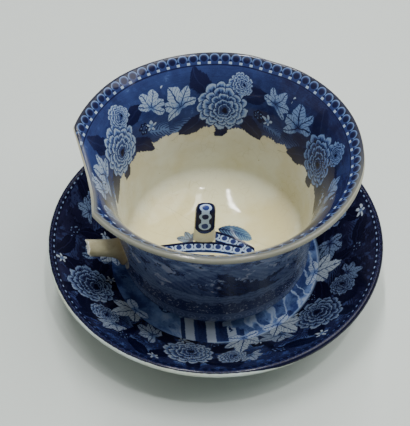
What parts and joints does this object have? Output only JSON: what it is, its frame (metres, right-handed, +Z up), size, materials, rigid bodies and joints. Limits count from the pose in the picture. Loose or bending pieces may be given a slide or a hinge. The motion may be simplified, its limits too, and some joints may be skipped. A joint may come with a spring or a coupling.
{
  "type": "mustache cup with saucer",
  "caption": "Glazed cup with a flared rim cut back straight on one side, a broken handle stub and a post on its floor, on a deep matching saucer.",
  "frame": {"origin": "on the table, at the centre of the saucer's foot, which is the centre of the saucer and of the cup", "axes": "+Z up; -Y towards the side seen nearest in the picture; the handle stub points to -X and a little to -Y"},
  "size_m": [0.14, 0.14, 0.077],
  "materials": {
    "saucer_print": "clear glaze over a dark blue print",
    "cup_print": "clear glaze over a blue print, cream inside",
    "foot_glaze": "cream glaze, worn where it stands",
    "worn_clay": "stained cream glaze with a bare broken end",
    "post_glaze": "cream glaze with a printed blue strip"
  },
  "bodies": {
    "saucer": {"saucer_dish": "saucer_print", "saucer_foot_ring": "foot_glaze"},
    "cup": {"cup_bowl": "cup_print", "cup_foot_ring": "foot_glaze", "handle_stub": "worn_clay", "floor_post": "post_glaze"}
  },
  "joints": [
    {"name": "cup_lift", "type": "slide", "parent": "saucer", "child": "cup", "axis": [0, 0, 1], "range_m": [0, 0.1]}
  ]
}
